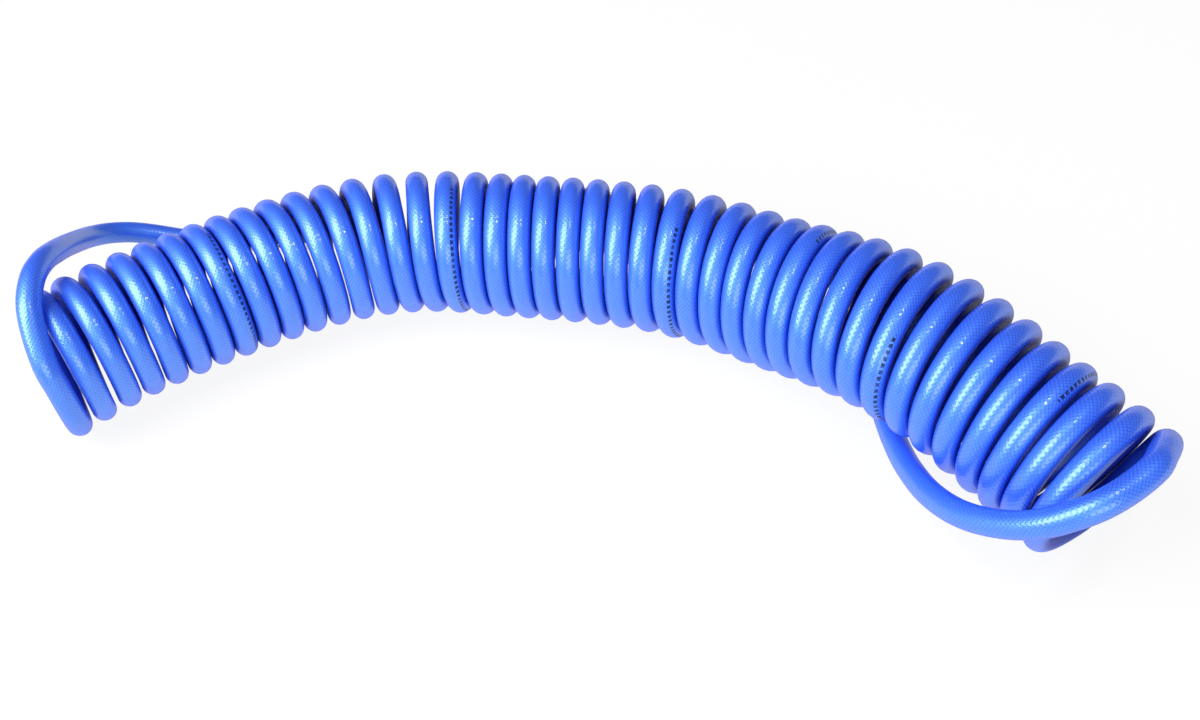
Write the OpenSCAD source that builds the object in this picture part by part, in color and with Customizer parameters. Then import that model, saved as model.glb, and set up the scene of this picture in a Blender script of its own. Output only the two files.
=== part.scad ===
// Coiled air hose with a swivel plug on one end and a quick coupler on the other.
// Millimetres. The floor is z = 0 and the coil lies on it in a long arc along X.

/* [Hose] */
// Outside diameter of the hose
hose_d = 12; // [11:0.5:12]
// Bore of the hose
hose_bore = 8; // [7:0.5:8]
// Outside diameter of one turn of the coil
coil_d = 76; // [74:0.5:76]
// Gap between two turns, on the inside of the arc, where they lie closest
turn_gap = 0.7; // [0.6:0.05:0.75]
// How high the coil arches over the tail that runs under it
lift_height = 14.8; // [14.8:0.1:15.4]

/* [Fittings] */
// Diameter of the plug's nose
nose_d = 12; // [11.8:0.05:12]
// Bore of the coupler's socket
socket_d = 12.1; // [12.1:0.02:12.2]
// Outside diameter of the release sleeve
sleeve_d = 26.4; // [25.4:0.2:26.4]
// Across flats of the nuts that clamp the hose
nut_flats = 19; // [19:0.5:20]
// Wire of the two bend guards
guard_wire = 2; // [1.6:0.1:2]
// Number of locking balls is fixed by the nodes, this is their diameter
ball_d = 3.5; // [3.4:0.05:3.5]

/* [Hidden] */
$fn = 64;

hose_r = hose_d / 2;
coil_r = coil_d / 2 - hose_r;

// The coil is counted in turns: a whole number is the top of a turn, and a quarter
// turn later the hose is at its front. Its axis is walked in sixteenths of a turn.
steps_per_turn = 16;
walk_from_turn = -0.5;
walk_to_turn = 42.5;
coil_from_turn = 0.1875;
coil_to_turn = 41.9375;
// Where the axis starts, and its heading in degrees from +X
axis_start = [-257.1, 34.2, 38.1];
// Turn number, and how many degrees the axis turns to the right in that turn
AXIS_BEND = [
    [0, 3.6], [2, 4.3], [5, 1.3], [9, 1.5], [12, 4.5], [14, 6.2], [16, 4.2], [18, -0.7], [21, 0.8],
    [23, 2], [25, 5], [27, 3.3], [30, 0.2], [34, 3.2], [38, 2.1], [40, 1.2], [41, 3.8],
    [42, 1.9]
];
// Turn number, and how much wider than turn_gap the gap after that turn is
TURN_SPREAD = [
    [0, -1.2], [3, -0.5], [8, -0.4], [13, -0.2], [17, 0.4], [22, 0.1], [26, 0.4], [32, 0.2], [36, 0.1],
    [40, 0], [41, 0.4], [42, -0.4]
];
// Turn number, and how far the tops of the turns lean along the axis
TURN_LEAN = [
    [0, 4.3], [1, 5], [3, 4.8], [5, 5.3], [10, 5.2], [16, 3.3], [21, 3.4], [24, 1.9],
    [28, -2.7], [32, -3.3], [36, 0.3], [39, 3.2], [40.7, 4.2], [41.5, 6.2], [42, 10.2]
];
// Turn number, and how far the fronts of the turns stand along the axis
TURN_YAW = [
    [0, -5], [2, 0.7], [5, 3], [9, 4.9], [13, 5.4], [17, 4.5], [20, 3.3], [23, 2.9], [27, 1.9],
    [31, 0.9], [34, 1.2], [38, 1.8], [40, 2.1], [41, 2.3], [41.5, 2.8], [42, 9]
];
// Turn number, and how far the low backs of the turns stand along the axis. A back starts
// back_from degrees after the top of its turn.
TURN_BACK = [[0, 0], [24, 0], [28, -5], [35, -5], [38, 0], [42, 0]];
back_from = 138.5;
// The turns near lift_turn ride over the tail, and are squeezed lower and wider there
lift_turn = 33.4;
lift_reach = 6;
lift_squash = 0.325;

// The facets of a turn: 8 rings of 6 sides. The turn's own eight-sided outline stands
// outside the true circle, and its feet are cut flat a tenth of the hose deep.
rings_per_turn = 8;
coil_sides = 6;
half_ring = 180 / rings_per_turn;
foot_cut = hose_d / 10;
axis_z = coil_d / 2 - foot_cut;
flat_r = hose_r * cos(180 / coil_sides);
ring_r = coil_d / 2 / cos(half_ring) - flat_r / cos(half_ring);

tail_sides = 10;
// Routes of the two free ends: X, Y and the height of the hose's underside
PLUG_ROUTE = [
    [-238.5, 30.9, 67.2], [-239.6, 43.3, 75.6], [-239.2, 58.3, 79], [-238.9, 74.1, 75.4],
    [-239, 88.4, 68.1], [-240.5, 101.9, 59.6], [-242.5, 115.5, 50.2], [-243.7, 128.2, 41.4],
    [-242.7, 137.9, 34.7], [-238.3, 145.5, 29], [-232.9, 149.9, 24.8], [-226.3, 153, 20.6],
    [-216.8, 154.9, 15.2], [-206.3, 155.3, 9.9], [-195.3, 154.6, 5.7]
];
COUPLER_ROUTE = [
    [225.8, -151.9, 65], [213.8, -156.1, 63.4], [204, -156.1, 58.6], [193, -152.9, 50.6],
    [181.8, -144.3, 40.6], [171.5, -129.9, 29.4], [165.5, -109.9, 17.5], [163.7, -85.6, 6],
    [163.7, -63.1, 0.2], [164.2, -47.1, 0], [167.7, -32.6, 0], [171.7, -18.1, 0],
    [174.7, -3.6, 0], [174.7, 11.4, 0.5], [170.7, 25.4, 2.5], [162.2, 39.4, 5.5]
];
// Each fitting has its own X axis: the hose comes in from -X, and 0 is the hose's end
plug_place = [-126.3, 149.7, nut_flats / 2];
plug_heading = -4;
coupler_flats = 27;
coupler_place = [87.2, 91.9, coupler_flats / 2];
coupler_heading = 147.5;
tail_meets_guard = -58;

// Stems that hold the hose
hose_grip = 24;
barb_length = 22;
barb_count = 4;
barb_root_r = 3.9;
barb_crest_r = 4.3;
stem_bore_r = 2.5;
nut_thread_r = 7.9;
nut_thread_end = 8;
stem_hex_end = 14;
thread_play = 0.05;
fit_play = 0.05;
// How far the pieces of one solid run into each other
overlap = 1;

// Nuts and bend guards
nut_front = 7.7;
nut_shoulder = -9;
pocket_floor = -12;
nut_back = -18;
pocket_r = 8.8;
guard_end = -54;
guard_r = 7.6;
guard_curls = 13;

// Plug
plug_flats = 16;
body_back = 14.3;
body_hex_end = 24.3;
nose_r = nose_d / 2;
nose_tip = 47.3;
nose_bore_r = 3;
groove_from = 35;
groove_to = 39;
groove_r = 5.15;
neck_r = 5.45;
neck_end = 22.5;
swivel_bore_end = 22.8;
ring_groove = [16.2, 17.8];
ring_span = [16.5, 17.5];
ring_groove_r = 4.5;
swivel_ring_r = 6.3;
seal_groove = [20.2, 21.8];
seal_groove_r = 4.4;

// Coupler
adapter_flats = 21;
adapter_thread_r = 9;
adapter_end = 20.8;
chamber_from = 22;
chamber_to = 37;
chamber_r = 7.5;
seat_hole_r = 5.2;
seat_to = 39;
collar_end = 24.5;
shoulder_end = 31.5;
shoulder_r = 11.5;
barrel_r = 8.6;
mouth = 62;
mouth_chamfer = 0.5;
socket_r = socket_d / 2;
// Relief cut round the bore where the ball holes break into it
relief_span = [47.5, 51.5];
relief_r = 6.35;
packing_span = [41.5, 44.5];
packing_groove_r = 7.5;
packing_r = 5.8;
stop_ring_span = [58, 59.5];
stop_ring_root_r = 8.1;
stop_ring_r = 10.2;

// Sleeve
sleeve_back = 30;
sleeve_front = 61;
sleeve_land = 44;
sleeve_step = 57.9;
sleeve_mouth_r = 10.5;
cone_from_r = 8.75;
cone_slope = 0.18;
cone_to = 55.5;

// Balls, and how far they stand from the axis when they lock
ball_count = 6;
ball_r = ball_d / 2;
ball_at = 49.5;
ball_centre_r = 6.93;

// Valve
poppet_back = 33;
poppet_front = 35.5;
poppet_r = 6.2;
valve_seal_front = 36.9;
poppet_boss = [29, 4.1];
poppet_tube_r = 4.5;
poppet_tube_bore = 3.4;
poppet_tip = 44.2;
poppet_slots = 3;

// ---------- paths and tubes ----------

function unit(v) = v / norm(v);
function square_to(v, t) = unit(v - (v * t) * t);

// One step along the coil's axis: s is [x, y, heading]
function walk(s, i) =
    let (bend = lookup((i + 0.5) / steps_per_turn + walk_from_turn, AXIS_BEND))
    let (gap = turn_gap + lookup((i + 0.5) / steps_per_turn + walk_from_turn, TURN_SPREAD))
    let (step = (hose_d + gap + coil_r * bend * PI / 180) / steps_per_turn)
    let (heading = s[2] - bend / steps_per_turn)
    let (middle = (s[2] + heading) / 2)
    [s[0] + step * cos(middle), s[1] + step * sin(middle), heading];

walk_steps = (walk_to_turn - walk_from_turn) * steps_per_turn;
AXIS = [for (i = 0, s = axis_start; i <= walk_steps; s = walk(s, i), i = i + 1) s];

function step_of(turn) = round((turn - walk_from_turn) * steps_per_turn);
function turn_of(i) = i / steps_per_turn + walk_from_turn;
function lift_at(turn) =
    let (away = min(1, abs(turn - lift_turn) / lift_reach))
    lift_height * (1 + cos(180 * away)) / 2;
function along_axis(i) = [cos(AXIS[i][2]), sin(AXIS[i][2]), 0];
function across_axis(i) = [-sin(AXIS[i][2]), cos(AXIS[i][2]), 0];

// Outward direction of the hose's turn, and the hose's centre, at a step of the axis
function outward(i) =
    let (a = 360 * turn_of(i))
    -sin(a) * across_axis(i) + [0, 0, cos(a)];
function coil_centre(i, r) =
    let (turn = turn_of(i), a = 360 * turn, rise = lift_at(turn))
    [AXIS[i][0], AXIS[i][1], axis_z + (1 - lift_squash) * rise]
    - (r + lift_squash * rise) * sin(a) * across_axis(i)
    + [0, 0, (r - lift_squash * rise) * cos(a)]
    + (lookup(turn, TURN_LEAN) * cos(a) + lookup(turn, TURN_YAW) * sin(a)
        + lookup(turn, TURN_BACK) * max(0, sin(a - back_from)) ^ 2) * along_axis(i);
function coil_tangent(i, r) = unit(coil_centre(i + 1, r) - coil_centre(i - 1, r));

// A ring of points round c: side and up are its two directions, drawn to half sizes
function ring(c, side, up, half_side, half_up, sides) = [
    for (j = [0:sides - 1])
        c + half_side * cos(360 * j / sides) * side + half_up * sin(360 * j / sides) * up
];
function above_floor(points) = [for (p = points) [p[0], p[1], max(0, p[2])]];

function tube_faces(rings, sides) = concat(
    [for (i = [0:rings - 2], j = [0:sides - 1])
        [i * sides + j, i * sides + (j + 1) % sides, (i + 1) * sides + j]],
    [for (i = [0:rings - 2], j = [0:sides - 1])
        [i * sides + (j + 1) % sides, (i + 1) * sides + (j + 1) % sides, (i + 1) * sides + j]],
    [for (j = [1:sides - 2]) [0, j + 1, j]],
    [for (j = [1:sides - 2])
        [(rings - 1) * sides, (rings - 1) * sides + j, (rings - 1) * sides + j + 1]]
);

module tube(rings, sides) {
    polyhedron(
        points = [for (r = rings, p = r) p],
        faces = tube_faces(len(rings), sides)
    );
}

// Least distance between the points of rings that lie about one turn apart
function least_gap(rings) = min([
    for (i = [0:len(rings) - rings_per_turn - 2], near = [-1:1], p = rings[i])
        for (q = rings[i + rings_per_turn + near])
            norm(p - q)
]);

// ---------- the wound hose ----------

function coil_ring(i) =
    let (t = coil_tangent(i, ring_r), up = square_to(outward(i), t))
    above_floor(ring(coil_centre(i, ring_r), cross(t, up), up,
        hose_r, hose_r / cos(half_ring), coil_sides));
// A ring that is square to the hose, moved along it by a run
function coil_end_ring(turn, run) =
    let (i = step_of(turn), t = coil_tangent(i, coil_r), up = square_to(outward(i), t))
    ring(coil_centre(i, coil_r) + run * t, cross(t, up), up, hose_r, hose_r, coil_sides);
function coil_end(turn, run) =
    let (i = step_of(turn))
    coil_centre(i, coil_r) + run * coil_tangent(i, coil_r);

ring_step = steps_per_turn / rings_per_turn;
COIL_RINGS = concat(
    [coil_end_ring(coil_from_turn, -hose_d), coil_end_ring(coil_from_turn, 0)],
    [for (i = [step_of(coil_from_turn) + ring_step:ring_step:step_of(coil_to_turn) - ring_step])
        coil_ring(i)],
    [coil_end_ring(coil_to_turn, 0), coil_end_ring(coil_to_turn, hose_d)]
);

module hose_coil() {
    echo(hose_coil_least_gap_mm = least_gap(COIL_RINGS));
    color("dodgerblue") tube(COIL_RINGS, coil_sides);
}

// ---------- the free ends of the hose ----------

function fitting_point(place, heading, x) = place + x * [cos(heading), sin(heading), 0];
function raised(route) = [for (p = route) p + [0, 0, hose_r]];

// Tangent at each point of a path whose first and last directions are given
function path_tangents(path, first, last) = [
    for (i = [0:len(path) - 1])
        i == 0 ? first : i == len(path) - 1 ? last
            : unit(unit(path[i + 1] - path[i]) + unit(path[i] - path[i - 1]))
];

// Rings along a path, with the ring's up direction carried along without a twist
function path_rings(path, tangents) = [
    for (i = 0, up = square_to([0, 0, 1], tangents[0]);
        i < len(path);
        i = i + 1, up = square_to(up, tangents[min(i, len(path) - 1)]))
        ring(path[i], cross(tangents[i], up), up, hose_r, hose_r, tail_sides)
];

module free_end(path, first, last) {
    color("deepskyblue") tube(path_rings(path, path_tangents(path, first, last)), tail_sides);
}

module plug_side_tail() {
    free_end(
        concat(
            [coil_end(coil_from_turn, -hose_d)],
            raised(PLUG_ROUTE),
            [for (x = [tail_meets_guard, -hose_grip]) fitting_point(plug_place, plug_heading, x)]
        ),
        -coil_tangent(step_of(coil_from_turn), coil_r),
        fitting_point([0, 0, 0], plug_heading, 1)
    );
}

module coupler_side_tail() {
    free_end(
        concat(
            [coil_end(coil_to_turn, hose_d)],
            raised(COUPLER_ROUTE),
            [for (x = [tail_meets_guard, -hose_grip])
                fitting_point(coupler_place, coupler_heading, x)]
        ),
        coil_tangent(step_of(coil_to_turn), coil_r),
        fitting_point([0, 0, 0], coupler_heading, 1)
    );
}

// ---------- shapes that the fittings share ----------

module at_plug() {
    translate(plug_place) rotate([0, 0, plug_heading]) children();
}

module at_coupler() {
    translate(coupler_place) rotate([0, 0, coupler_heading]) children();
}

// A round rod along X
module rod(from, to, r) {
    translate([from, 0, 0]) rotate([0, 90, 0]) cylinder(h = to - from, r = r);
}

// A round ring or bush along X
module bush(from, to, r, hole_r) {
    difference() {
        rod(from, to, r);
        rod(from - 1, to + 1, hole_r);
    }
}

// A six-sided bar along X with a flat underneath
module hex_bar(from, to, flats) {
    translate([from, 0, 0]) rotate([0, 90, 0]) rotate([0, 0, 30])
        cylinder(h = to - from, r = flats / 2 / cos(30), $fn = 6);
}

// A solid turned about X from points of [radius, x]
module turned(points) {
    rotate([0, 90, 0]) rotate_extrude() polygon(points);
}

// A torus-shaped seal about X
module round_ring(at, r, cord_r) {
    translate([at, 0, 0]) rotate([0, 90, 0])
        rotate_extrude() translate([r, 0]) circle(r = cord_r, $fn = 24);
}

// The rings of a spring wound about X, with a short straight run at each end
function spring_ring(a, x, r, wire, run) =
    let (out = [0, cos(a), sin(a)], t = [0, -sin(a), cos(a)])
    ring([x, 0, 0] + r * out + run * t, [-1, 0, 0], out,
        wire / 2, wire / 2 / cos(half_ring), coil_sides);
function spring_rings(from, to, r, wire, curls) =
    let (last = curls * rings_per_turn, low = min(from, to) + wire / 2 + 0.1)
    let (pitch = (abs(to - from) - wire - 0.2) / last)
    concat(
        [spring_ring(0, low, r, wire, -wire)],
        [for (i = [0:last]) spring_ring(2 * half_ring * i, low + pitch * i, r, wire, 0)],
        [spring_ring(2 * half_ring * last, low + pitch * last, r, wire, wire)]
    );

module spring(name, from, to, r, wire, curls) {
    rings = spring_rings(from, to, r, wire, curls);
    echo(spring = name, least_gap_mm = least_gap([for (i = [1:len(rings) - 2]) rings[i]]));
    tube(rings, coil_sides);
}

module hose_end() {
    bush(-hose_grip, 0, hose_r, hose_bore / 2);
}

module barbs() {
    pitch = barb_length / barb_count;
    BARB = [[barb_root_r, 0], [barb_crest_r, 0.8 * pitch]];
    turned(concat(
        [[0, -barb_length]],
        [for (i = [0:barb_count - 1], p = BARB) [p[0], p[1] + i * pitch - barb_length]],
        [[barb_root_r, 0], [barb_root_r, overlap], [0, overlap]]
    ));
}

module nut() {
    difference() {
        intersection() {
            hex_bar(nut_back, nut_front, nut_flats);
            turned([
                [0, nut_back], [nut_flats / 2 - 0.2, nut_back], [nut_flats / 2 + 2, nut_back + 1.5],
                [nut_flats / 2 + 2, nut_front - 1.5], [nut_flats / 2 - 0.2, nut_front], [0, nut_front]
            ]);
        }
        rod(nut_back - 1, pocket_floor, pocket_r);
        rod(pocket_floor - 1, 1, hose_r + fit_play);
        rod(0, nut_front + 1, nut_thread_r + thread_play);
    }
}

module bend_guard(name) {
    spring(name, pocket_floor, guard_end, guard_r, guard_wire, guard_curls);
}

// ---------- plug ----------

module plug_hose_end() {
    color("royalblue") at_plug() hose_end();
}

module plug_stem() {
    color("goldenrod") at_plug() difference() {
        union() {
            barbs();
            rod(0, nut_thread_end + overlap, nut_thread_r);
            hex_bar(nut_thread_end, stem_hex_end, plug_flats);
            rod(stem_hex_end - overlap, neck_end, neck_r);
        }
        bush(ring_groove[0], ring_groove[1], neck_r + 1, ring_groove_r);
        bush(seal_groove[0], seal_groove[1], neck_r + 1, seal_groove_r);
        rod(-barb_length - 1, neck_end + 1, stem_bore_r);
    }
}

module plug_nut() {
    color("silver") at_plug() nut();
}

module plug_guard() {
    color("lightgray") at_plug() bend_guard("plug_guard");
}

module plug_body() {
    color("silver") at_plug() difference() {
        union() {
            hex_bar(body_back, body_hex_end, plug_flats);
            turned([
                [0, body_hex_end - overlap], [nose_r, body_hex_end - overlap], [nose_r, groove_from],
                [groove_r, groove_from + 0.9], [groove_r, groove_to - 0.9], [nose_r, groove_to],
                [nose_r, nose_tip - 1.2], [nose_r - 1.2, nose_tip], [0, nose_tip]
            ]);
        }
        rod(body_back - 1, swivel_bore_end, neck_r + fit_play);
        rod(ring_span[0], ring_span[1], swivel_ring_r);
        rod(swivel_bore_end - 1, nose_tip + 1, nose_bore_r);
    }
}

module plug_swivel_ring() {
    color("dimgray") at_plug()
        bush(ring_span[0], ring_span[1], swivel_ring_r, ring_groove_r + 0.2);
}

module plug_swivel_seal() {
    seal_cord_r = (neck_r - seal_groove_r) / 2;
    color("black") at_plug()
        round_ring((seal_groove[0] + seal_groove[1]) / 2, neck_r - seal_cord_r, seal_cord_r);
}

// ---------- coupler ----------

module coupler_hose_end() {
    color("royalblue") at_coupler() hose_end();
}

module coupler_stem() {
    color("goldenrod") at_coupler() difference() {
        union() {
            barbs();
            rod(0, nut_thread_end + overlap, nut_thread_r);
            hex_bar(nut_thread_end, stem_hex_end, adapter_flats);
            rod(stem_hex_end - overlap, adapter_end, adapter_thread_r);
        }
        rod(-barb_length - 1, adapter_end + 1, stem_bore_r);
    }
}

module adapter_seal() {
    color("black") at_coupler()
        bush(adapter_end, chamber_from, adapter_thread_r, chamber_r);
}

module coupler_nut() {
    color("silver") at_coupler() nut();
}

module coupler_guard() {
    color("lightgray") at_coupler() bend_guard("coupler_guard");
}

module ball_hole(i) {
    translate([ball_at, 0, 0]) rotate([360 * i / ball_count, 0, 0])
        translate([0, 0, 3]) cylinder(h = 8, r = ball_r + fit_play);
}

module coupler_body() {
    color("silver") at_coupler() difference() {
        union() {
            hex_bar(stem_hex_end, collar_end, coupler_flats);
            rod(collar_end - overlap, shoulder_end, shoulder_r);
            rod(shoulder_end - overlap, mouth, barrel_r);
        }
        rod(stem_hex_end - 1, chamber_from, adapter_thread_r + thread_play);
        rod(chamber_from - 1, chamber_to, chamber_r);
        rod(chamber_to - 1, seat_to, seat_hole_r);
        rod(seat_to, mouth + 1, socket_r);
        rod(packing_span[0], packing_span[1], packing_groove_r);
        rod(relief_span[0], relief_span[1], relief_r);
        turned([
            [0, mouth - mouth_chamfer], [socket_r, mouth - mouth_chamfer],
            [socket_r + mouth_chamfer + 0.1, mouth + 0.1], [0, mouth + 0.1]
        ]);
        bush(stop_ring_span[0], stop_ring_span[1], barrel_r + 1, stop_ring_root_r);
        for (i = [0:ball_count - 1]) ball_hole(i);
    }
}

module coupler_sleeve() {
    sleeve_r = sleeve_d / 2;
    chamber = shoulder_r + 0.1;
    land = barrel_r + fit_play;
    cone_to_r = cone_from_r + cone_slope * (cone_to - ball_at);
    color("gainsboro") at_coupler() turned([
        [chamber, sleeve_back], [sleeve_r - 0.6, sleeve_back], [sleeve_r, sleeve_back + 0.6],
        [sleeve_r, sleeve_front - 1], [sleeve_r - 1, sleeve_front],
        [sleeve_mouth_r, sleeve_front], [sleeve_mouth_r, sleeve_step], [cone_to_r, sleeve_step],
        [cone_to_r, cone_to], [cone_from_r, ball_at], [land, ball_at - 0.6],
        [land, sleeve_land], [chamber, sleeve_land]
    ]);
}

module sleeve_spring() {
    color("lightgray") at_coupler()
        spring("sleeve_spring", shoulder_end, sleeve_land, 10.3, 1.2, 5);
}

module sleeve_stop_ring() {
    color("dimgray") at_coupler()
        bush(stop_ring_span[0], stop_ring_span[1], stop_ring_r, stop_ring_root_r);
}

module ball(i) {
    color("white") at_coupler() rotate([360 * (i - 1) / ball_count, 0, 0])
        translate([ball_at, 0, ball_centre_r]) sphere(r = ball_r, $fn = 32);
}

module ball_1() { ball(1); }
module ball_2() { ball(2); }
module ball_3() { ball(3); }
module ball_4() { ball(4); }
module ball_5() { ball(5); }
module ball_6() { ball(6); }

module bore_packing() {
    color("black") at_coupler() turned([
        [packing_groove_r, packing_span[0]], [packing_groove_r, packing_span[1]],
        [packing_r + 0.4, packing_span[1]], [packing_r, packing_span[1] - 0.8],
        [packing_r, packing_span[0] + 0.8], [packing_r + 0.4, packing_span[0]]
    ]);
}

module valve_poppet() {
    color("goldenrod") at_coupler() difference() {
        union() {
            rod(poppet_boss[0], poppet_back, poppet_boss[1]);
            rod(poppet_back, poppet_front, poppet_r);
            rod(poppet_front, poppet_tip, poppet_tube_r);
        }
        rod(poppet_front + 1, poppet_tip + 1, poppet_tube_bore);
        for (i = [0:poppet_slots - 1]) rotate([360 * i / poppet_slots, 0, 0])
            translate([valve_seal_front + 0.6, -1.2, 0])
                cube([poppet_tip - valve_seal_front, 2.4, poppet_tube_r + 1]);
    }
}

module valve_seal() {
    color("black") at_coupler()
        bush(poppet_front, valve_seal_front, poppet_r, poppet_tube_r);
}

module valve_spring() {
    color("lightgray") at_coupler()
        spring("valve_spring", adapter_end, poppet_back, 5.05, 0.8, 6);
}

hose_coil();
plug_side_tail();
coupler_side_tail();
plug_hose_end();
plug_stem();
plug_nut();
plug_guard();
plug_body();
plug_swivel_ring();
plug_swivel_seal();
coupler_hose_end();
coupler_stem();
adapter_seal();
coupler_nut();
coupler_guard();
coupler_body();
coupler_sleeve();
sleeve_spring();
sleeve_stop_ring();
ball_1();
ball_2();
ball_3();
ball_4();
ball_5();
ball_6();
bore_packing();
valve_poppet();
valve_seal();
valve_spring();
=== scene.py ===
"""Dresses the coiled air hose: one long braided tube, its two end fittings and a plain studio."""

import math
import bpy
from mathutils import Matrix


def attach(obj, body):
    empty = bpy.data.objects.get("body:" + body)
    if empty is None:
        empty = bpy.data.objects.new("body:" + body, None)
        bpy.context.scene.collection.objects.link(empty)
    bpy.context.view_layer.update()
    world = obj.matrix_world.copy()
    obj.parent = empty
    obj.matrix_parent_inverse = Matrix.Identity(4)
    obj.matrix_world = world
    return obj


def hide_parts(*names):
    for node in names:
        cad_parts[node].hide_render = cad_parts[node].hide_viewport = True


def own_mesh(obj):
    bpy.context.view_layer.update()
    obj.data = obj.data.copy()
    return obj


bl_info = {
    "name": "Coiled Air Hose",
    "version": (1, 0, 0),
    "blender": (4, 5, 0),
    "location": "3D View > Sidebar > Air Hose",
    "description": "Builds a coiled air hose with a swivel plug and a quick coupler",
    "category": "Object",
}

import bmesh
import bpy
import numpy as np
from bpy.props import FloatProperty, FloatVectorProperty, IntProperty, PointerProperty
from mathutils import Matrix, Vector

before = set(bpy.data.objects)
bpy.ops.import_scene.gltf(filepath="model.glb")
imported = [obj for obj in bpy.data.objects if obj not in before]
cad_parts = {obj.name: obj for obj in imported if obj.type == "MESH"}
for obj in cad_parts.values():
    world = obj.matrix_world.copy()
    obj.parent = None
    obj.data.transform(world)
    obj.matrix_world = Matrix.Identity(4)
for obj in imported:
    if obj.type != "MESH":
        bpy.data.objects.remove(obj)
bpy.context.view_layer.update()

# The places of the coil, the free ends and the fittings are written in millimetres, and
# everything else is in metres, as Blender is
MM = 0.001
Z_AXIS = np.array([0.0, 0.0, 1.0])


# ---------------------------------------------------------------- sizes and colours


class AIRHOSE_PG_hose(bpy.types.PropertyGroup):
    """Sizes and colours of the hose"""

    hose_d: FloatProperty(
        name="Hose diameter", description="Outside diameter of the hose",
        default=12 * MM, unit="LENGTH")
    coil_d: FloatProperty(
        name="Coil diameter", description="Outside diameter of one turn of the coil",
        default=76 * MM, unit="LENGTH")
    turn_gap: FloatProperty(
        name="Turn gap", description="Gap between two turns on the inside of the arc",
        default=0.7 * MM, unit="LENGTH")
    lift_height: FloatProperty(
        name="Lift", description="How high the coil arches over the free end under it",
        default=12.8 * MM, unit="LENGTH")
    rings_per_turn: IntProperty(
        name="Rings per turn", description="Rings of the mesh in one turn of the coil",
        default=56, min=16)
    sides: IntProperty(
        name="Sides", description="Sides of the hose's section", default=28, min=8)
    strands: IntProperty(
        name="Strands", description="Braid yarns that cross one ring of the hose, each way",
        default=18, min=8)
    cover: FloatVectorProperty(
        name="Cover", description="Colour of the polyurethane cover",
        subtype="COLOR", default=(0.038, 0.135, 1.0), min=0, max=1)
    yarn: FloatVectorProperty(
        name="Yarn", description="Colour of the braid where it shows through the cover",
        subtype="COLOR", default=(0.012, 0.045, 0.7), min=0, max=1)
    # Painted shade: a darker colour laid on the cover where the turns lie side by side and under
    # the free ends, in place of the shade that falls there
    edge: FloatVectorProperty(
        name="Edge", description="Colour of the cover where the turns lie side by side",
        subtype="COLOR", default=(0.006, 0.02, 0.38), min=0, max=1)
    ink: FloatVectorProperty(
        name="Ink", description="Colour of the plain marking dashes",
        subtype="COLOR", default=(0.008, 0.012, 0.05), min=0, max=1)


class AIRHOSE_PG_fittings(bpy.types.PropertyGroup):
    """Colours of the end fittings"""

    plated: FloatVectorProperty(
        name="Plated steel", description="Colour of the plated steel bodies, nuts and sleeve",
        subtype="COLOR", default=(0.62, 0.63, 0.65), min=0, max=1)
    brass: FloatVectorProperty(
        name="Brass", description="Colour of the machined brass",
        subtype="COLOR", default=(0.72, 0.5, 0.2), min=0, max=1)
    wire: FloatVectorProperty(
        name="Spring wire", description="Colour of the drawn spring wire",
        subtype="COLOR", default=(0.5, 0.5, 0.52), min=0, max=1)
    rubber: FloatVectorProperty(
        name="Rubber", description="Colour of the seals",
        subtype="COLOR", default=(0.02, 0.02, 0.022), min=0, max=1)


class AIRHOSE_PG_stage(bpy.types.PropertyGroup):
    """Floor, lamps and camera"""

    floor: FloatVectorProperty(
        name="Floor", description="Colour of the floor",
        subtype="COLOR", default=(0.85, 0.85, 0.85), min=0, max=1)
    key_power: FloatProperty(
        name="Key lamp", description="Power of the tall soft box at the left",
        default=43.0, unit="POWER")
    top_power: FloatProperty(
        name="Top lamp", description="Power of the small overhead lamp",
        default=2.2, unit="POWER")
    fill_power: FloatProperty(
        name="Fill lamp", description="Power of the wide fill lamp in front",
        default=16.0, unit="POWER")
    world: FloatProperty(
        name="World", description="Strength of the even light from all round", default=0.13)
    lens: FloatProperty(
        name="Lens", description="Focal length of the camera",
        default=35.0, unit="CAMERA", subtype="DISTANCE_CAMERA")
    distance: FloatProperty(
        name="Distance", description="From the camera to the point that it looks at",
        default=616 * MM, unit="LENGTH")
    elevation: FloatProperty(
        name="Elevation", description="Height of the camera above the horizon",
        default=math.radians(48.5), subtype="ANGLE")
    roll: FloatProperty(
        name="Roll", description="Roll of the camera about its own line of sight",
        default=math.radians(-9.2), subtype="ANGLE")


class AIRHOSE_PG_all(bpy.types.PropertyGroup):
    """Everything that a user would change"""

    hose: PointerProperty(type=AIRHOSE_PG_hose)
    fittings: PointerProperty(type=AIRHOSE_PG_fittings)
    stage: PointerProperty(type=AIRHOSE_PG_stage)


def settings():
    """The sizes and colours that the scene holds now."""
    return bpy.context.scene.air_hose


# ---------------------------------------------------------------- the coil

# The coil is counted in turns: a whole number is the top of a turn, and a quarter turn
# later the hose is at its front. Its axis is walked over the floor in small steps.
STEPS_PER_TURN = 16
WALK_FROM_TURN = -0.5
WALK_TO_TURN = 42.5
COIL_FROM_TURN = 0.1875
COIL_TO_TURN = 41.9375
AXIS_START = (-257.1, 34.2)
AXIS_START_HEADING = 38.1
# Turn number, and how many degrees the axis turns to the right in that turn
AXIS_BEND = np.array([
    (0, 3.6), (2, 4.3), (5, 1.3), (9, 1.5), (12, 4.5), (14, 6.2), (16, 4.2), (18, -0.7),
    (21, 0.8), (23, 2), (25, 5), (27, 3.3), (30, 0.2), (34, 3.2), (38, 2.1), (40, 1.2),
    (41, 3.8), (42, 1.9),
])
# Turn number, and how much wider than turn_gap the gap after that turn is
TURN_SPREAD = np.array([
    (0, -1.2), (3, -0.5), (8, -0.4), (13, -0.2), (17, 0.4), (22, 0.1), (26, 0.4), (32, 0.2),
    (36, 0.1), (40, 0), (41, 0.4), (42, -0.4),
])
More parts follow.
